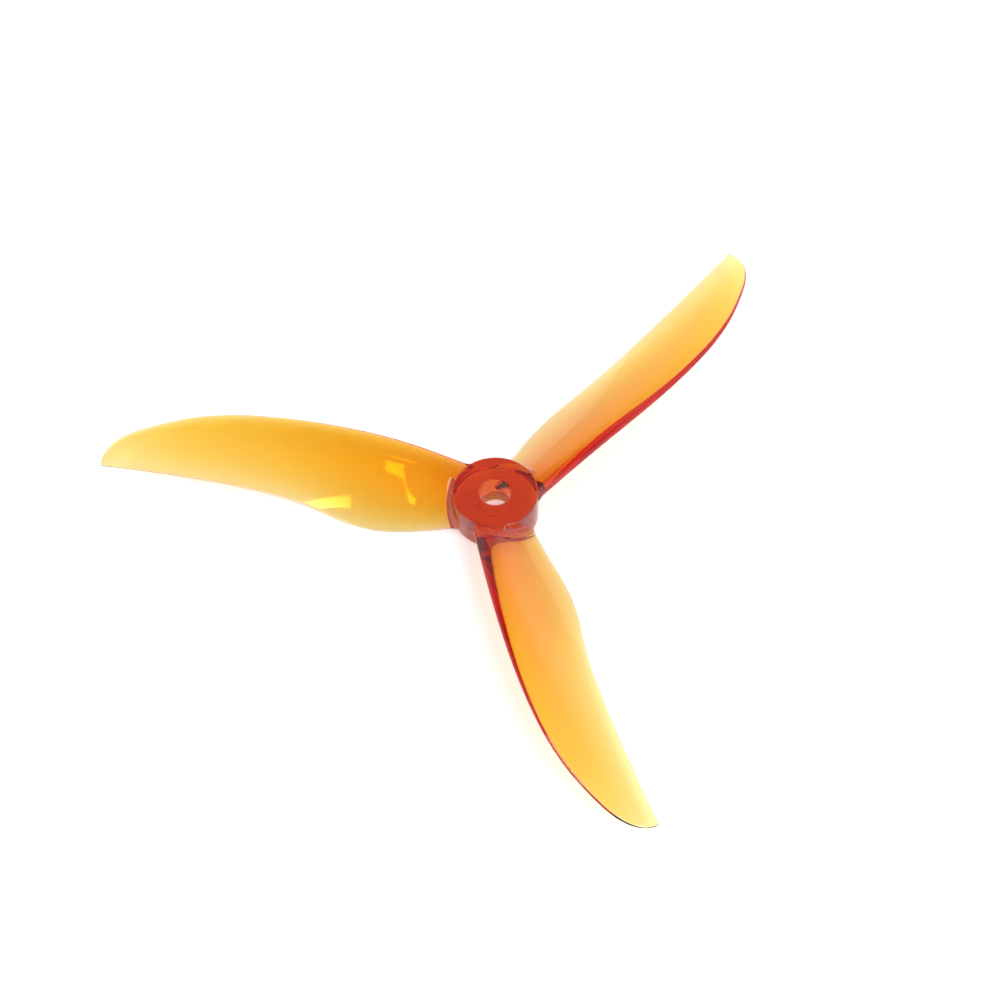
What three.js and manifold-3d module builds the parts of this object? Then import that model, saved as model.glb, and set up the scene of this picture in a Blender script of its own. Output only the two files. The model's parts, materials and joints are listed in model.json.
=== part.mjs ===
// Three-blade propeller for a small multirotor: one hub with a 5 mm class bore and three swept blades.
// Millimetres, +Z up along the spin axis. It turns clockwise seen from above, with each blade's thick,
// high leading edge going first, and it blows air towards -Z.
// The origin is the balance point: the centre of mass, which lies on the spin axis.
// +X is the pitch line of blade_1; blade_2 and blade_3 follow at 120 and 240 degrees.
import * as THREE from 'three';
import { mergeVertices } from 'three/addons/utils/BufferGeometryUtils.js';
import Module from 'manifold-3d';

// ---- dimensions. All heights are measured from the hub's top face, downwards negative.
const HUB_R = 6.8;            // hub wall radius
const HUB_HEIGHT = 5.8;       // between the nut face (top) and the motor face (base)
const HUB_TOP_FACE_R = 6.5;   // outer radius of the flat nut face
const HUB_BASE_FACE_R = 6.45; // outer radius of the flat motor face
const HUB_EDGE_STEPS = 4;     // segments in each rounded outer edge
const HUB_SEGMENTS = 96;
const BORE_R = 2.515;         // bore for a 5 mm shaft, with running-in clearance
const BORE_EDGE = 0.12;       // edge break at both mouths of the bore
const BALANCE_Z = -2.160;     // height of the centre of mass

const BLADES = 3;
const ROOT_GAP = 0.04;        // clearance between the hub wall and a blade root
const ROOT_CUTTER_HEIGHT = 30;
const FILLET_R = 1.3;         // blend radius where a blade runs into the hub wall
const FILLET_TOP = -0.36;     // the blend stays below the hub's top edge
const FILLET_BASE = -5.62;    // and above the hub's bottom edge
const FILLET_FADE = 0.07;     // part of the chord over which the blend fades out at either edge
const TE_THICKNESS = 0.36;    // blunt trailing edge
const NOSE_PART = 0.22;       // part of the chord over which the nose fills out to full thickness
const NOSE_POWER = 2.2;       // superellipse exponent of the nose
const TAPER_POWER = 1.35;     // exponent of the thickness run behind the nose
const CAMBER_PEAK = 0.42;     // place of the greatest camber, as part of the chord
const SIDE_POINTS = 13;       // points along one side of a section, leading edge included
const COSINE_WEIGHT = 0.55;   // share of cosine spacing in those points; the rest is power spacing
const SPACING_POWER = 1.6;    // exponent of the power spacing

// Blade sections, root to tip. Each row: leading edge x, y, z, trailing edge x, y, z,
// greatest thickness, camber as part of the chord.
// x runs out along the blade, y across it towards the trailing edge.
const SECTIONS = [
  [2.6, -4.66, -1.66, 2.6, 3.98, -4.72, 3.10, 0.040],
  [4.8, -4.74, -1.31, 4.8, 4.62, -5.20, 3.05, 0.042],
  [7.2, -4.86, -0.96, 7.2, 5.26, -5.71, 2.92, 0.045],
  [9.0, -4.97, -0.69, 9.0, 5.73, -6.08, 2.74, 0.048],
  [11.0, -5.10, -0.38, 11.0, 6.26, -6.38, 2.52, 0.050],
  [13.0, -5.21, -0.12, 13.0, 6.78, -6.60, 2.34, 0.052],
  [15.0, -5.30, 0.11, 15.0, 7.22, -6.77, 2.21, 0.054],
  [17.0, -5.37, 0.28, 17.0, 7.54, -6.86, 2.11, 0.055],
  [19.0, -5.42, 0.41, 19.0, 7.73, -6.83, 2.02, 0.056],
  [21.5, -5.45, 0.49, 21.5, 7.77, -6.61, 1.94, 0.056],
  [24.0, -5.44, 0.50, 24.0, 7.62, -6.16, 1.86, 0.056],
  [27.0, -5.39, 0.45, 27.0, 7.32, -5.50, 1.76, 0.056],
  [30.0, -5.29, 0.35, 30.0, 7.09, -4.90, 1.66, 0.055],
  [34.0, -5.04, 0.16, 34.0, 7.03, -4.36, 1.54, 0.054],
  [38.0, -4.65, -0.04, 38.0, 7.19, -4.03, 1.42, 0.053],
  [42.0, -4.08, -0.28, 42.0, 7.43, -3.81, 1.32, 0.052],
  [46.0, -3.26, -0.60, 46.0, 7.74, -3.65, 1.22, 0.050],
  [50.0, -2.07, -1.00, 49.8, 8.08, -3.56, 1.12, 0.048],
  [53.0, -0.86, -1.36, 52.6, 8.37, -3.52, 0.99, 0.046],
  [56.0, 0.63, -1.77, 55.3, 8.66, -3.50, 0.87, 0.043],
  [58.2, 1.87, -2.07, 57.4, 8.90, -3.49, 0.77, 0.040],
  [59.9, 3.02, -2.32, 59.0, 9.09, -3.48, 0.69, 0.036],
  [61.2, 4.22, -2.57, 60.3, 9.24, -3.48, 0.62, 0.032],
  [62.1, 5.40, -2.83, 61.2, 9.35, -3.48, 0.55, 0.028],
  [62.65, 6.62, -3.08, 61.85, 9.43, -3.48, 0.49, 0.022],
  [62.88, 7.72, -3.28, 62.3, 9.49, -3.48, 0.43, 0.014],
  [62.86, 8.66, -3.40, 62.55, 9.53, -3.48, 0.38, 0.0],
];
const LEADING = 0, TRAILING = 3, THICKNESS = 6, CAMBER = 7; // first column of each entry

// A station is a row number in SECTIONS, fractions lying between rows.
// The stations are close together at the root blend, then one to a row from FIRST_WHOLE_STATION on.
const ROOT_STATIONS = [
  0, 0.5, 0.8, 1.0, 1.12, 1.24, 1.36, 1.48, 1.6, 1.72, 1.84, 1.96, 2.08, 2.2, 2.35, 2.5, 2.75,
];
const FIRST_WHOLE_STATION = 3;
const LAST_STATION = SECTIONS.length - 1;

const wasm = await Module();
wasm.setup();

// ---- conversion between three.js geometry and manifold solids
function toSolid(geometry) {
  // Normals and uvs would keep coincident vertices from merging.
  geometry.deleteAttribute('normal');
  geometry.deleteAttribute('uv');
  const merged = mergeVertices(geometry, 1e-4);
  return new wasm.Manifold(new wasm.Mesh({
    numProp: 3,
    vertProperties: merged.attributes.position.array,
    triVerts: new Uint32Array(merged.index.array),
  }));
}

function toGeometry(solid) {
  const mesh = solid.getMesh();
  const geometry = new THREE.BufferGeometry();
  geometry.setAttribute('position', new THREE.Float32BufferAttribute(mesh.vertProperties, 3));
  geometry.setIndex(new THREE.Uint32BufferAttribute(mesh.triVerts, 1));
  geometry.computeVertexNormals();
  return geometry;
}

// ---- hub: a turned ring. Its profile runs round the wall section and closes on itself.
function quarterArc(centreR, centreZ, radius, fromDegrees) {
  return Array.from({ length: HUB_EDGE_STEPS + 1 }, (_, i) => {
    const angle = THREE.MathUtils.degToRad(fromDegrees + 90 * i / HUB_EDGE_STEPS);
    return new THREE.Vector2(
      centreR + radius * Math.cos(angle),
      centreZ + radius * Math.sin(angle),
    );
  });
}

function hubGeometry() {
  const topEdgeR = HUB_R - HUB_TOP_FACE_R;
  const baseEdgeR = HUB_R - HUB_BASE_FACE_R;
  const profile = [
    new THREE.Vector2(BORE_R, -HUB_HEIGHT + BORE_EDGE),
    new THREE.Vector2(BORE_R + BORE_EDGE, -HUB_HEIGHT),
    ...quarterArc(HUB_BASE_FACE_R, -HUB_HEIGHT + baseEdgeR, baseEdgeR, -90),
    ...quarterArc(HUB_TOP_FACE_R, -topEdgeR, topEdgeR, 0),
    new THREE.Vector2(BORE_R + BORE_EDGE, 0),
    new THREE.Vector2(BORE_R, -BORE_EDGE),
  ];
  profile.push(profile[0].clone());
  return new THREE.LatheGeometry(profile, HUB_SEGMENTS).rotateX(Math.PI / 2);
}

// ---- blade section. "along" runs from 0 at the leading edge to 1 at the trailing edge.
function halfThickness(along, greatest) {
  // Superellipse nose, then a nearly straight run down to the blunt trailing edge.
  const full = greatest / 2;
  if (along < NOSE_PART) {
    return full * Math.sqrt(1 - (1 - along / NOSE_PART) ** NOSE_POWER);
  }
  const behindNose = (along - NOSE_PART) / (1 - NOSE_PART);
  return full + (TE_THICKNESS / 2 - full) * behindNose ** TAPER_POWER;
}

function camberPart(along) {
  // Two parabolas that meet at the peak, where the value is 1.
  const peak = CAMBER_PEAK;
  const rise = 2 * peak * along - along ** 2;
  return along < peak ? rise / peak ** 2 : (1 - 2 * peak + rise) / (1 - peak) ** 2;
}

function blendHeight(x, y, along) {
  // Height that the root blend adds to each side of the section, by distance from the hub wall.
  const distance = Math.max(0, Math.hypot(x, y) - HUB_R);
  if (distance >= FILLET_R) return 0;
  const rise = FILLET_R - Math.sqrt(FILLET_R ** 2 - (FILLET_R - distance) ** 2);
  const fromEdge = Math.min(along, 1 - along);
  const fade = fromEdge < FILLET_FADE ? Math.sqrt(1 - (1 - fromEdge / FILLET_FADE) ** 2) : 1;
  return rise * fade;
}

function edgeCurve(column) {
  const points = SECTIONS.map((row) => new THREE.Vector3(...row.slice(column, column + 3)));
  return new THREE.CatmullRomCurve3(points, false, 'catmullrom', 0.5);
}

const leadingCurve = edgeCurve(LEADING);
const trailingCurve = edgeCurve(TRAILING);

function valueAt(column, station) {
  const row = Math.min(LAST_STATION - 1, Math.floor(station));
  return THREE.MathUtils.lerp(SECTIONS[row][column], SECTIONS[row + 1][column], station - row);
}

// Places of the points along one side, without the leading edge; closest together at the nose.
const SIDE_PLACES = Array.from({ length: SIDE_POINTS - 1 }, (_, i) => {
  const part = (i + 1) / (SIDE_POINTS - 1);
  const cosine = 0.5 * (1 - Math.cos(Math.PI * part));
  return COSINE_WEIGHT * cosine + (1 - COSINE_WEIGHT) * part ** SPACING_POWER;
});

// One closed ring: upper side from trailing to leading edge, then back along the lower side.
function sectionRing(station) {
  const leading = leadingCurve.getPoint(station / LAST_STATION);
  const trailing = trailingCurve.getPoint(station / LAST_STATION);
  const chord = trailing.clone().sub(leading);
  const up = new THREE.Vector3(0, -chord.z, chord.y).normalize();
  const greatest = valueAt(THICKNESS, station);
  const camber = valueAt(CAMBER, station) * chord.length();

  const pointAt = (along, side) => {
    const offset = camber * camberPart(along) + side * halfThickness(along, greatest);
    const point = leading.clone().addScaledVector(chord, along).addScaledVector(up, offset);
    const room = side > 0 ? FILLET_TOP - point.z : point.z - FILLET_BASE;
    point.z += side * Math.min(blendHeight(point.x, point.y, along), Math.max(0, room));
    return point;
  };
  return [
    ...SIDE_PLACES.map((along) => pointAt(along, 1)).reverse(),
    leading,
    ...SIDE_PLACES.map((along) => pointAt(along, -1)),
  ];
}

// ---- blade: rings lofted from root to tip and capped at both ends
function bladeGeometry() {
  const stations = [...ROOT_STATIONS];
  for (let i = FIRST_WHOLE_STATION; i <= LAST_STATION; i++) stations.push(i);
  const rings = stations.map(sectionRing);
  const ringSize = rings[0].length;
  const positions = [];
  const addTriangle = (...corners) => {
    for (const { x, y, z } of corners) positions.push(x, y, z);
  };

  for (let i = 0; i + 1 < rings.length; i++) {
    const inner = rings[i];
    const outer = rings[i + 1];
    for (let j = 0; j < ringSize; j++) {
      const next = (j + 1) % ringSize;
      addTriangle(inner[j], outer[next], outer[j]);
      addTriangle(inner[j], inner[next], outer[next]);
    }
  }

  // Each cap crosses the section strip by strip between its upper and lower sides.
  const addCap = (ring, facesTip) => {
    const add = facesTip ? addTriangle : (first, second, third) => addTriangle(first, third, second);
    for (let j = 0; j < SIDE_POINTS - 1; j++) {
      const [upper, nextUpper] = [ring[j], ring[j + 1]];
      const [nextLower, lower] = [ring[ringSize - 2 - j], ring[ringSize - 1 - j]];
      add(upper, nextUpper, lower);
      // The last strip ends in a point at the leading edge.
      if (nextUpper !== nextLower) add(nextUpper, nextLower, lower);
    }
  };
  addCap(rings[0], false);
  addCap(rings.at(-1), true);

  const geometry = new THREE.BufferGeometry();
  return geometry.setAttribute('position', new THREE.Float32BufferAttribute(positions, 3));
}

function trimmedBladeGeometry() {
  // The sections start inside the hub; a cylinder cuts the root back to just outside the wall.
  const cutterR = HUB_R + ROOT_GAP;
  const cutter = new THREE.CylinderGeometry(cutterR, cutterR, ROOT_CUTTER_HEIGHT, HUB_SEGMENTS)
    .rotateX(Math.PI / 2);
  return toGeometry(toSolid(bladeGeometry()).subtract(toSolid(cutter)));
}

// ---- materials and assembly
const plastic = (color) => new THREE.MeshStandardMaterial({
  color, roughness: 0.08, metalness: 0, transparent: true, opacity: 0.7,
});
const HUB_COLOR = 0xb93a12;   // dark red-orange
const BLADE_COLOR = 0xe8650c; // orange

const group = new THREE.Group();
group.position.z = -BALANCE_Z;

const hub = new THREE.Mesh(hubGeometry(), plastic(HUB_COLOR));
hub.name = 'hub';
group.add(hub);

const bladeShape = trimmedBladeGeometry();
for (let i = 0; i < BLADES; i++) {
  const turn = new THREE.Group();
  turn.rotation.z = i * 2 * Math.PI / BLADES;
  const blade = new THREE.Mesh(bladeShape.clone(), plastic(BLADE_COLOR));
  blade.name = `blade_${i + 1}`;
  turn.add(blade);
  group.add(turn);
}

export default group;
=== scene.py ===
# A three-bladed propeller moulded in clear orange plastic, on a pale glowing floor.
# The hub's axis is z. Blade 1 runs out along +x with its leading edge towards -y;
# the others are turned by thirds of a circle. The shapes are built in mm with
# z = 0 on the hub's top face, then lifted to their height in the frame.
import json, math
import bpy, bmesh
import numpy as np
from mathutils import Vector, Matrix

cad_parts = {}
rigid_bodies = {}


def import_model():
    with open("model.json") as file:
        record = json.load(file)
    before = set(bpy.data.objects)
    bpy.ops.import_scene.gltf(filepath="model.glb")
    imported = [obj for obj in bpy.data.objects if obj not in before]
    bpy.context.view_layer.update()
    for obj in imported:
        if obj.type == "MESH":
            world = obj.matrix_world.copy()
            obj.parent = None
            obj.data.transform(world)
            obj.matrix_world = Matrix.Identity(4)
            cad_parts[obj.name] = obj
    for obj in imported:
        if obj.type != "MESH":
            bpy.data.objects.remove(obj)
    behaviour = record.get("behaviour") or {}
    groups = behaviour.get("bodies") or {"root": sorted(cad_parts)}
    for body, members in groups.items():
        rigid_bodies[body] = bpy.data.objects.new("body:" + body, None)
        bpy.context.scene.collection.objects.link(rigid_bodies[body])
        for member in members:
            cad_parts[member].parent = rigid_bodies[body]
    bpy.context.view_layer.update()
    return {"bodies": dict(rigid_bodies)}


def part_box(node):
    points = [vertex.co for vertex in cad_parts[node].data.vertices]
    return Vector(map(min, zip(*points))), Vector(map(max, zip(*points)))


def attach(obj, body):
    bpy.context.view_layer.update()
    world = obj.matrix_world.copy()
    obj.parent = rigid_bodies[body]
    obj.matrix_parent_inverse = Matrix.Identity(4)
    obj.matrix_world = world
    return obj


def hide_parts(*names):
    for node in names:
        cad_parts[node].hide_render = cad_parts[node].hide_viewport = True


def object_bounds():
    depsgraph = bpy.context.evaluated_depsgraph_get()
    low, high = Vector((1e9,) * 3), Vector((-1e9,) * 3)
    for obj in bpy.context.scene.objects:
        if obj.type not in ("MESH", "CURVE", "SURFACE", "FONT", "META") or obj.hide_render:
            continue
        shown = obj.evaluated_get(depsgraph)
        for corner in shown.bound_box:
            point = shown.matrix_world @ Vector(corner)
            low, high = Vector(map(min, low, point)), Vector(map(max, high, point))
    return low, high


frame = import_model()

MM = 0.001

# ------------------------------------------------------------------ dimensions, mm
HUB_R = 6.8
TOP_FACE_R, BASE_FACE_R = 6.5, 6.45      # the flat faces, inside the rounded rims
BORE_R, BORE_EDGE = 2.515, 0.12          # the bore and the rounding of its edges
hub_lo, hub_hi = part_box("hub")
TOP = hub_hi[2] / MM                     # height of the hub's top face in the frame
HUB_H = (hub_hi[2] - hub_lo[2]) / MM

BLADE_ANGLES = [i * 2 * math.pi / 3 for i in range(3)]
ROOT_R = HUB_R + 0.006                   # the root stops a hair outside the hub wall
FILLET_R = 1.3                           # root blend
FILLET_TOP, FILLET_BASE = -0.36, -5.62   # heights the blend stays between
FILLET_FADE = 0.07                       # chord share at each edge where the blend fades out
TAIL_THICK = 0.36                        # thickness of the trailing edge
NOSE = 0.22                              # chord share where the thickness is greatest
CAMBER_PEAK = 0.42                       # chord share where the camber is greatest
TIP_ROUND = 0.2                          # how far the rounded tip reaches past the last section

# Blade sections from root to tip: leading edge x, y, z, trailing edge x, y, z,
# greatest thickness, camber as a share of the chord
SECTIONS = np.array([
    [2.6, -4.66, -1.66, 2.6, 3.98, -4.72, 3.10, 0.040],
    [4.8, -4.74, -1.31, 4.8, 4.62, -5.20, 3.05, 0.042],
    [7.2, -4.86, -0.96, 7.2, 5.26, -5.71, 2.92, 0.045],
    [9.0, -4.97, -0.69, 9.0, 5.73, -6.08, 2.74, 0.048],
    [11.0, -5.10, -0.38, 11.0, 6.26, -6.38, 2.52, 0.050],
    [13.0, -5.21, -0.12, 13.0, 6.78, -6.60, 2.34, 0.052],
    [15.0, -5.30, 0.11, 15.0, 7.22, -6.77, 2.21, 0.054],
    [17.0, -5.37, 0.28, 17.0, 7.54, -6.86, 2.11, 0.055],
    [19.0, -5.42, 0.41, 19.0, 7.73, -6.83, 2.02, 0.056],
    [21.5, -5.45, 0.49, 21.5, 7.77, -6.61, 1.94, 0.056],
    [24.0, -5.44, 0.50, 24.0, 7.62, -6.16, 1.86, 0.056],
    [27.0, -5.39, 0.45, 27.0, 7.32, -5.50, 1.76, 0.056],
    [30.0, -5.29, 0.35, 30.0, 7.09, -4.90, 1.66, 0.055],
    [34.0, -5.04, 0.16, 34.0, 7.03, -4.36, 1.54, 0.054],
    [38.0, -4.65, -0.04, 38.0, 7.19, -4.03, 1.42, 0.053],
    [42.0, -4.08, -0.28, 42.0, 7.43, -3.81, 1.32, 0.052],
    [46.0, -3.26, -0.60, 46.0, 7.74, -3.65, 1.22, 0.050],
    [50.0, -2.07, -1.00, 49.8, 8.08, -3.56, 1.12, 0.048],
    [53.0, -0.86, -1.36, 52.6, 8.37, -3.52, 0.99, 0.046],
    [56.0, 0.63, -1.77, 55.3, 8.66, -3.50, 0.87, 0.043],
    [58.2, 1.87, -2.07, 57.4, 8.90, -3.49, 0.77, 0.040],
    [59.9, 3.02, -2.32, 59.0, 9.09, -3.48, 0.69, 0.036],
    [61.2, 4.22, -2.57, 60.3, 9.24, -3.48, 0.62, 0.032],
    [62.1, 5.40, -2.83, 61.2, 9.35, -3.48, 0.55, 0.028],
    [62.65, 6.62, -3.08, 61.85, 9.43, -3.48, 0.49, 0.022],
    [62.88, 7.72, -3.28, 62.3, 9.49, -3.48, 0.43, 0.014],
    [62.86, 8.66, -3.40, 62.55, 9.53, -3.48, 0.38, 0.0],
])
LAST = len(SECTIONS) - 1

# A section's outline runs from the trailing edge along the upper side to the nose
# and back along the lower side. SHARE is the place along the chord, SIDE is +1 on the
# upper side, 0 at the nose and -1 on the lower side.
SIDE_POINTS = 46
TAIL_POINTS = 5                          # extra points round the trailing edge
even = np.linspace(0, 1, SIDE_POINTS)
side_share = 0.62 * (1 - np.cos(np.pi * even)) / 2 + 0.38 * even ** 1.9
SHARE = np.concatenate([side_share[:0:-1], [0.0], side_share[1:]])
SIDE = np.repeat([1.0, 0.0, -1.0], [SIDE_POINTS - 1, 1, SIDE_POINTS - 1])
NOSE_POINT = SIDE_POINTS - 1


# ------------------------------------------------------------------ blade
def natural_spline(rows):
    """Second derivatives of the natural cubic spline through rows at 0, 1, 2, ..."""
    count = len(rows)
    system = np.zeros((count, count))
    target = np.zeros_like(rows)
    system[0, 0] = system[-1, -1] = 1
    for i in range(1, count - 1):
        system[i, i - 1:i + 2] = 1, 4, 1
        target[i] = 6 * (rows[i + 1] - 2 * rows[i] + rows[i - 1])
    return np.linalg.solve(system, target)


CURVING = natural_spline(SECTIONS)


def section_at(station):
    """The section row at each station, a fractional row number of SECTIONS."""
    station = np.clip(station, 0, LAST)
    i = np.minimum(station.astype(int), LAST - 1)
    t = (station - i)[..., None]
    u = 1 - t
    bend = ((u ** 3 - u) * CURVING[i] + (t ** 3 - t) * CURVING[i + 1]) / 6
    return u * SECTIONS[i] + t * SECTIONS[i + 1] + bend


def half_thickness(share, thickness):
    end = np.minimum(TAIL_THICK, thickness) / 2
    peak = thickness / 2
    nose = peak * np.sqrt(np.clip(1 - np.abs(1 - share / NOSE) ** 2.2, 0, 1))
    behind = np.clip((share - NOSE) / (1 - NOSE), 0, 1)
    return np.where(share < NOSE, nose, peak + (end - peak) * behind ** 1.35)


def camber(share, part, chord):
    """Two parabolas that meet at the camber's peak."""
    p = CAMBER_PEAK
    ahead = (2 * p * share - share * share) / p ** 2
    behind = (1 - 2 * p + 2 * p * share - share * share) / (1 - p) ** 2
    return part * chord * np.where(share < p, ahead, behind)


def skin(station):
    """Outline points without the root blend, one station each, and their chord shares."""
    row = section_at(station)
    lead, trail, thickness = row[..., 0:3], row[..., 3:6], row[..., 6]
    chord = trail - lead
    length = np.linalg.norm(chord, axis=-1)
    up = np.stack([0 * length, -chord[..., 2], chord[..., 1]], -1)
    up /= np.linalg.norm(up, axis=-1)[..., None]
    end = np.minimum(TAIL_THICK, thickness) / 2
    share = SHARE * (1 - end / length)          # leaves room for the rounded trailing edge
    offset = camber(share, row[..., 7], length) + SIDE * half_thickness(share, thickness)
    return lead + chord * share[..., None] + up * offset[..., None], share


def edge_fade(share):
    """Rises from 0 at the edge to 1 over a quarter circle."""
    arch = np.sqrt(np.clip(1 - (1 - share / FILLET_FADE) ** 2, 0, 1))
    return np.where(share < FILLET_FADE, arch, 1)


def blended_skin(station):
    """Outline points spread up and down where they near the hub wall."""
    points, share = skin(station)
    away = np.clip(np.hypot(points[..., 0], points[..., 1]) - ROOT_R, 0, FILLET_R)
    rise = FILLET_R - np.sqrt(np.clip(FILLET_R ** 2 - (FILLET_R - away) ** 2, 0, None))
    rise = rise * edge_fade(share) * edge_fade(1 - share)
    up = np.minimum(rise, np.clip(FILLET_TOP - points[..., 2], 0, None))
    down = np.minimum(rise, np.clip(points[..., 2] - FILLET_BASE, 0, None))
    points[..., 2] += np.where(SIDE > 0, up, 0) - np.where(SIDE < 0, down, 0)
    return points


def stations_at_radius(radius):
    """Where each outline point's line along the blade crosses a cylinder round the axis."""
    low, high = np.full(len(SHARE), 0.3), np.full(len(SHARE), 4.0)
    for _ in range(40):
        middle = (low + high) / 2
        points, _share = skin(middle)
        outside = np.hypot(points[:, 0], points[:, 1]) > radius
        high = np.where(outside, middle, high)
        low = np.where(outside, low, middle)
    return (low + high) / 2


def with_tail(ring):
    """Adds the rounded trailing edge, from the lower side back to the upper side."""
    upper, lower = ring[0], ring[-1]
    middle, half = (upper + lower) / 2, (upper - lower) / 2
    out = middle - (ring[1] + ring[-2]) / 2
    out -= half * (out @ half) / (half @ half)
    out *= np.linalg.norm(half) / max(np.linalg.norm(out), 1e-9)
    angles = np.radians(np.linspace(-90, 90, TAIL_POINTS + 2)[1:-1])
    return np.vstack([ring, [middle + half * math.sin(a) + out * math.cos(a) for a in angles]])


def blade_rings():
    """Closed outlines from the hub wall, through the blend, out to the last section."""
    rings = []
    for away in FILLET_R * (1 - np.cos(np.linspace(0, math.pi / 2, 20))):
        start = stations_at_radius(ROOT_R + away)
        rings.append(blended_skin(start))
    for step in np.linspace(0, 1, 170)[1:]:
        rings.append(blended_skin(start + (LAST - start) * step))
    return [with_tail(ring) for ring in rings]


def tip_rings(rings):
    """The last ring closes in over a few short steps."""
    last = rings[-1]
    centre = last.mean(0)
    outward = centre - rings[-4].mean(0)
    outward /= np.linalg.norm(outward)
    return [centre + (last - centre) * math.cos(a) + outward * TIP_ROUND * math.sin(a)
            for a in map(math.radians, (25, 50, 72))]


def root_face(root, first_new):
    """Strips from the upper to the lower side, laid on the cylinder at the hub wall."""
    divisions = 6
    extra, lines, faces = [], [], []
    for upper in range(NOSE_POINT):
        lower = 2 * NOSE_POINT - upper
        line = [upper]
        for d in range(1, divisions):
            x, y, z = root[upper] + (root[lower] - root[upper]) * d / divisions
            stretch = ROOT_R / np.hypot(x, y)
            line.append(first_new + len(extra))
            extra.append((x * stretch, y * stretch, z))
        lines.append(line + [lower])
    for line, following in zip(lines, lines[1:]):
        for d in range(divisions):
            faces.append((line[d], line[d + 1], following[d + 1], following[d]))
    for d in range(divisions):
        faces.append((lines[-1][d], lines[-1][d + 1], NOSE_POINT))
    faces.append(tuple(lines[0]) + tuple(range(2 * NOSE_POINT + 1, len(root))))
    return np.array(extra), faces


def blade_mesh(rings):
    rings = rings + tip_rings(rings)
    around = len(rings[0])
    verts = np.vstack(rings)
    faces = []
    for i in range(len(rings) - 1):
        for k in range(around):
            l = (k + 1) % around
            faces.append((i * around + k, i * around + l,
                          (i + 1) * around + l, (i + 1) * around + k))
    faces.append(tuple((len(rings) - 1) * around + k for k in range(around)))
    extra, root_faces = root_face(rings[0], len(verts))
    return np.vstack([verts, extra]), faces + root_faces


# ------------------------------------------------------------------ hub
def arc(x, z, radius, start, end, steps):
    """Points from angle start to angle end, in degrees, both ends included."""
    angles = [math.radians(start + (end - start) * i / steps) for i in range(steps + 1)]
    return [(x + radius * math.cos(a), z + radius * math.sin(a)) for a in angles]


def between(start, end, steps):
    """The inner points of a straight run."""
    (x0, z0), (x1, z1) = start, end
    return [(x0 + (x1 - x0) * i / steps, z0 + (z1 - z0) * i / steps) for i in range(1, steps)]


def hub_mesh():
    segments = 288
    top_rim, base_rim = HUB_R - TOP_FACE_R, HUB_R - BASE_FACE_R
    mouth = BORE_R + BORE_EDGE
    # radius and height: bore edge, base face, wall, top face, bore
    profile = (
        arc(mouth, -HUB_H + BORE_EDGE, BORE_EDGE, 180, 270, 4)
        + between((mouth, -HUB_H), (BASE_FACE_R, -HUB_H), 12)
        + arc(BASE_FACE_R, -HUB_H + base_rim, base_rim, -90, 0, 8)
        + between((HUB_R, -HUB_H + base_rim), (HUB_R, -top_rim), 24)
        + arc(TOP_FACE_R, -top_rim, top_rim, 0, 90, 8)
        + between((TOP_FACE_R, 0), (mouth, 0), 12)
        + arc(mouth, -BORE_EDGE, BORE_EDGE, 90, 180, 4)
        + between((BORE_R, -BORE_EDGE), (BORE_R, -HUB_H + BORE_EDGE), 16))
    count = len(profile)
    verts, faces = [], []
    for k in range(segments):
        a = 2 * math.pi * k / segments
        verts += [(r * math.cos(a), r * math.sin(a), z) for r, z in profile]
        l = (k + 1) % segments
        for i in range(count):
            j = (i + 1) % count
            faces.append((k * count + i, l * count + i, l * count + j, k * count + j))
    return np.array(verts), faces


def depth_inside(px, py, outline):
    """Signed distance from each point to a closed outline, positive inside."""
    distance = np.full(px.shape, 1e9)
    odd = np.zeros(px.shape, bool)
    for (x0, y0), (x1, y1) in zip(outline, np.roll(outline, -1, 0)):
        ex, ey = x1 - x0, y1 - y0
        t = np.clip(((px - x0) * ex + (py - y0) * ey) / max(ex * ex + ey * ey, 1e-12), 0, 1)
        distance = np.minimum(distance, np.hypot(px - x0 - t * ex, py - y0 - t * ey))
        if y0 != y1:
            odd ^= ((y0 > py) != (y1 > py)) & (px < x0 + (py - y0) * ex / ey)
    return np.where(odd, distance, -distance)


def hub_joint(points, root):
    """Above 0.5 where a blade's root covers the hub wall, which is compared unrolled."""
    unrolled = np.stack([np.arctan2(root[:, 1], root[:, 0]) * HUB_R, root[:, 2]], -1)
    turn = np.arctan2(points[:, 1], points[:, 0])
    depth = np.full(len(points), -1e9)
    for angle in BLADE_ANGLES:
        off = (turn - angle + math.pi) % (2 * math.pi) - math.pi
        depth = np.maximum(depth, depth_inside(off * HUB_R, points[:, 2], unrolled))
    depth[np.hypot(points[:, 0], points[:, 1]) < HUB_R - 0.02] = -1
    return depth + 0.5


# ------------------------------------------------------------------ materials
def add_node(tree, kind, inputs, **settings):
    """A new node; each input is given a value or the socket that feeds it."""
    node = tree.nodes.new(kind)
    for name, value in settings.items():
        setattr(node, name, value)
    for key, value in inputs.items():
        if isinstance(value, bpy.types.NodeSocket):
            tree.links.new(value, node.inputs[key])
        else:
            node.inputs[key].default_value = value
    return node


ABSORBED = (50.0, 435.0, 2250.0)   # absorption per metre of path: red, green, blue
DENSITY = max(ABSORBED) * 1.02     # a little more, so that no colour channel reaches 0
PLASTIC_IOR = 1.585
JOINT_IOR = 1.002
SEAT_ROUGHNESS = 0.55              # added on the matt seat


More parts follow.
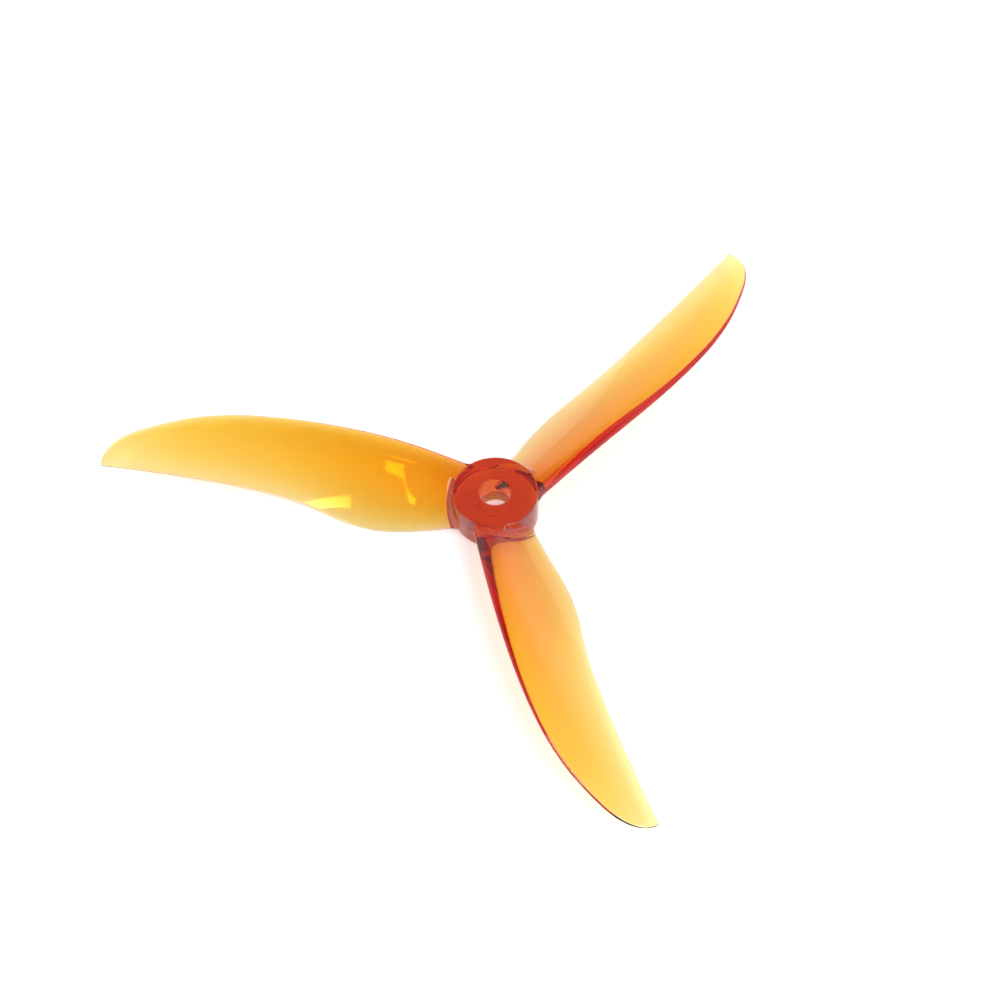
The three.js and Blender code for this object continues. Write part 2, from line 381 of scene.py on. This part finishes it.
def plastic(name):
    material = bpy.data.materials.new(name)
    material.use_nodes = True
    tree = material.node_tree
    tree.nodes.clear()
    output = add_node(tree, "ShaderNodeOutputMaterial", {})
    surface = add_node(tree, "ShaderNodeBsdfPrincipled", {
        "Base Color": (1, 1, 1, 1), "Transmission Weight": 1.0,
        "IOR": PLASTIC_IOR, "Roughness": 0.02})
    # hub and blades are one moulding: where they meet, no surface bends the light
    joint = add_node(tree, "ShaderNodeAttribute", {}, attribute_name="joint")
    covered = add_node(tree, "ShaderNodeMath", {0: joint.outputs["Fac"], 1: 0.5},
                       operation="GREATER_THAN")
    ior = add_node(tree, "ShaderNodeMath",
                   {0: covered.outputs[0], 1: JOINT_IOR - PLASTIC_IOR, 2: PLASTIC_IOR},
                   operation="MULTIPLY_ADD")
    volume = add_node(tree, "ShaderNodeVolumeAbsorption", {
        "Color": (*[1 - a / DENSITY for a in ABSORBED], 1), "Density": DENSITY})
    # faint flow ripples
    place = add_node(tree, "ShaderNodeTexCoord", {}).outputs["Object"]
    flow = add_node(tree, "ShaderNodeTexNoise", {"Scale": 90, "Detail": 2, "Vector": place})
    bump = add_node(tree, "ShaderNodeBump", {
        "Strength": 0.05, "Distance": 0.0002, "Height": flow.outputs["Fac"]})
    # patches of slight haze
    haze = add_node(tree, "ShaderNodeTexNoise", {"Scale": 420, "Detail": 3, "Vector": place})
    roughness = add_node(tree, "ShaderNodeMapRange", {
        "From Min": 0.35, "From Max": 0.75, "To Min": 0.015, "To Max": 0.06,
        "Value": haze.outputs["Fac"]})
    # the seat that presses on the motor is moulded matt
    seat = add_node(tree, "ShaderNodeAttribute", {}, attribute_name="seat")
    matt = add_node(tree, "ShaderNodeMath",
                    {0: seat.outputs["Fac"], 1: SEAT_ROUGHNESS, 2: roughness.outputs["Result"]},
                    operation="MULTIPLY_ADD")
    for source, target in (
            (ior.outputs[0], surface.inputs["IOR"]),
            (bump.outputs["Normal"], surface.inputs["Normal"]),
            (matt.outputs[0], surface.inputs["Roughness"]),
            (surface.outputs["BSDF"], output.inputs["Surface"]),
            (volume.outputs["Volume"], output.inputs["Volume"])):
        tree.links.new(source, target)
    return material


hub_plastic = plastic("clear_orange_hub")
blade_plastic = plastic("clear_orange_blade")

# ------------------------------------------------------------------ pieces
body = list(frame["bodies"])[0]
lift = np.array([0, 0, TOP])


def make_piece(name, verts, faces, sharp_angle, material):
    """A smooth-shaded object from points in mm, with z = 0 on the hub's top face."""
    mesh = bpy.data.meshes.new(name)
    mesh.from_pydata([tuple(v) for v in (verts + lift) * MM], [], faces)
    mesh.validate()
    bm = bmesh.new()
    bm.from_mesh(mesh)
    bmesh.ops.remove_doubles(bm, verts=bm.verts, dist=1e-7)
    bmesh.ops.recalc_face_normals(bm, faces=bm.faces)
    bm.to_mesh(mesh)
    bm.free()
    mesh.polygons.foreach_set("use_smooth", [True] * len(mesh.polygons))
    mesh.set_sharp_from_angle(angle=math.radians(sharp_angle))
    mesh.materials.append(material)
    piece = bpy.data.objects.new(name, mesh)
    bpy.context.scene.collection.objects.link(piece)
    return piece


def add_attribute(piece, name, domain, values):
    attribute = piece.data.attributes.new(name, "FLOAT", domain)
    attribute.data.foreach_set("value", values.astype(np.float32))


def face_normals(piece):
    return np.array([tuple(face.normal) for face in piece.data.polygons])


rings = blade_rings()

hub = make_piece("hub_moulding", *hub_mesh(), 60, hub_plastic)
hub_points = np.array([tuple(v.co) for v in hub.data.vertices]) / MM - lift
add_attribute(hub, "joint", "POINT", hub_joint(hub_points, rings[0]))
add_attribute(hub, "seat", "FACE", face_normals(hub)[:, 2] < -0.98)
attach(hub, body)
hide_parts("hub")


def root_faces(blade):
    """True for the faces that lie on the hub wall and look at the axis."""
    centres = np.array([tuple(face.center) for face in blade.data.polygons]) / MM
    normals = face_normals(blade)
    radius = np.hypot(centres[:, 0], centres[:, 1])
    inward = -(centres[:, 0] * normals[:, 0] + centres[:, 1] * normals[:, 1]) / radius
    return (radius < ROOT_R + 0.01) & (inward > 0.9)


blade_verts, blade_faces = blade_mesh(rings)
for number, angle in enumerate(BLADE_ANGLES, 1):
    c, s = math.cos(angle), math.sin(angle)
    turned = blade_verts @ np.array([[c, -s, 0], [s, c, 0], [0, 0, 1]]).T
    blade = make_piece(f"blade_{number}_moulding", turned, blade_faces, 50, blade_plastic)
    add_attribute(blade, "joint", "FACE", root_faces(blade))
    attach(blade, body)
    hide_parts(f"blade_{number}")

# ------------------------------------------------------------------ floor
FLOOR_HALF = 1.5         # metres
FLOOR_GAP = 0.00001      # metres below the lowest point
FLOOR_GLOW = 0.390       # radiance

bpy.context.view_layer.update()
floor_mesh = bpy.data.meshes.new("floor")
bm = bmesh.new()
bmesh.ops.create_grid(bm, x_segments=1, y_segments=1, size=FLOOR_HALF)
bm.to_mesh(floor_mesh)
bm.free()
floor = bpy.data.objects.new("floor", floor_mesh)
floor.location = (0, 0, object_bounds()[0][2] - FLOOR_GAP)
bpy.context.scene.collection.objects.link(floor)
floor_material = bpy.data.materials.new("pale_floor")
floor_material.use_nodes = True
for name, value in {
        "Base Color": (0.93, 0.93, 0.93, 1), "Roughness": 1.0, "Specular IOR Level": 0.0,
        "Emission Color": (1, 1, 1, 1), "Emission Strength": FLOOR_GLOW}.items():
    floor_material.node_tree.nodes["Principled BSDF"].inputs[name].default_value = value
floor_mesh.materials.append(floor_material)

# ------------------------------------------------------------------ camera
ELEVATION, ROLL = math.radians(54.6454), math.radians(-1.4459)
AZIMUTH = math.radians(42.7131)    # from -y, clockwise seen from above
DISTANCE = 581.32089               # mm
SHIFT_RIGHT, SHIFT_UP = 0.7707038, -1.3054458   # mm, across the view
LENS, SENSOR = 133.35624, 36.0     # mm

forward = Vector((0, math.cos(ELEVATION), -math.sin(ELEVATION)))
level_up = Vector((0, math.sin(ELEVATION), math.cos(ELEVATION)))
level_right = Vector((1, 0, 0))
right = level_right * math.cos(ROLL) + level_up * math.sin(ROLL)
up = level_right * -math.sin(ROLL) + level_up * math.cos(ROLL)
spin = Matrix.Rotation(-AZIMUTH, 3, "Z")
place = spin @ ((right * SHIFT_RIGHT + up * SHIFT_UP - forward * DISTANCE) * MM)
pose = Matrix([spin @ axis for axis in (right, up, -forward)]).transposed().to_4x4()
pose.translation = place + Vector((0, 0, TOP * MM))

lens = bpy.data.cameras.new("camera")
lens.sensor_width = SENSOR
lens.lens = LENS
lens.clip_start, lens.clip_end = 0.01, 50
camera = bpy.data.objects.new("camera", lens)
camera.matrix_world = pose
scene = bpy.context.scene
scene.collection.objects.link(camera)
scene.camera = camera

# ------------------------------------------------------------------ world
# Directions of light are seen from the camera: x to its right, y away from it, z up.
# The room the plastic mirrors, as radiances: a row for each height (z of the direction),
# a column for each 45 degrees round from the right by way of the back.
ROOM_Z = (0.10, 0.40, 0.60, 0.75, 0.87)
ROOM = (
    (1.64, 1.02, 0.998, 0.895, 1.7, 1.72, 1.5, 1.72),
    (1.55, 1.4, 0.983, 0.991, 1.52, 1.31, 0.947, 1.37),
    (1.18, 0.765, 0.826, 0.924, 0.995, 0.363, 0, 0.865),
    (0.958, 0.727, 0.467, 0.24, 0.454, 0.182, 0.043, 0.645),
    (0.686, 0.873, 0.295, 0, 0.094, 0, 0.338, 0.529),
)
ROOM_TOP = 0.169                   # straight up

world = bpy.data.worlds.new("studio")
scene.world = world
world.use_nodes = True
sky = world.node_tree
background = sky.nodes["Background"]
background.inputs["Strength"].default_value = 1.0


def calc(operation, *values):
    return add_node(sky, "ShaderNodeMath", dict(enumerate(values)),
                    operation=operation).outputs[0]


def along(value, points):
    """A piecewise straight curve through (0..1, level) points."""
    top = max(max(level for _, level in points), 1e-3)
    node = add_node(sky, "ShaderNodeFloatCurve", {"Value": value})
    knots = node.mapping.curves[0].points
    while len(knots) < len(points):
        knots.new(0.5, 0.5)
    for knot, (x, level) in zip(knots, points):
        knot.location = (x, level / top)
        knot.handle_type = "VECTOR"
    node.mapping.update()
    return calc("MULTIPLY", node.outputs[0], top)


ray = add_node(sky, "ShaderNodeTexCoord", {}).outputs["Generated"]


def ray_part(direction):
    return add_node(sky, "ShaderNodeVectorMath", {0: ray, 1: spin @ Vector(direction)},
                    operation="DOT_PRODUCT").outputs["Value"]


height = calc("MAXIMUM", ray_part((0, 0, 1)), 0.0)
bearing = calc("MULTIPLY_ADD", calc("ARCTAN2", ray_part((0, 1, 0)), ray_part((1, 0, 0))),
               0.5 / math.pi, 0.5)   # 0 is left, 0.25 is towards the camera
total = None
for i, row in enumerate(ROOM):
    level = along(bearing, [(k / 8, row[(k + 4) % 8]) for k in range(9)])
    # each row fades out towards its neighbours; the lowest holds down to the horizon
    band = [(0.0, 1.0)] if i == 0 else [(0.0, 0.0), (ROOM_Z[i - 1], 0.0)]
    band += [(ROOM_Z[i], 1.0), ((ROOM_Z + (1.0,))[i + 1], 0.0)]
    if i < len(ROOM) - 1:
        band.append((1.0, 0.0))
    lit = calc("MULTIPLY", level, along(height, band))
    total = lit if total is None else calc("ADD", total, lit)
overhead = along(height, [(0.0, 0.0), (ROOM_Z[-1], 0.0), (1.0, ROOM_TOP)])
sky.links.new(calc("ADD", total, overhead), background.inputs["Color"])

# ------------------------------------------------------------------ lamps
# name, direction, distance, width and height in metres, radiance, whether it lights the floor
LAMPS = [
    ("key_left", (-0.62, -0.15, 0.77), 1.5, 0.50, 0.50, 4.03, True),
    ("key_right", (0.62, -0.15, 0.77), 1.5, 0.50, 0.50, 0.37, True),
    ("key_front_right", (0.35, -0.5, 0.79), 1.5, 0.50, 0.50, 9.76, True),
    ("lamp_top", (-0.010, -0.084, 1.0), 3.0, 0.14, 0.14, 50.0, False),
    ("lamp_front", (-0.015, -0.26, 0.96), 3.0, 0.34, 0.20, 16.0, False),
]
for name, direction, distance, width, length, radiance, lights_floor in LAMPS:
    light = bpy.data.lights.new(name, "AREA")
    light.shape = "RECTANGLE"
    light.size, light.size_y = width, length
    light.energy = radiance * math.pi * width * length
    lamp = bpy.data.objects.new(name, light)
    towards = (spin @ Vector(direction)).normalized()
    lamp.location = towards * distance
    lamp.rotation_mode = "QUATERNION"
    lamp.rotation_quaternion = (-towards).to_track_quat("-Z", "Y")
    lamp.visible_diffuse = lights_floor
    scene.collection.objects.link(lamp)

# ------------------------------------------------------------------ render
scene.view_settings.view_transform = "Standard"
scene.view_settings.look = "None"
scene.cycles.max_bounces = 40
scene.cycles.transmission_bounces = 32
scene.cycles.diffuse_bounces = 6
scene.cycles.glossy_bounces = 32

bpy.context.view_layer.update()
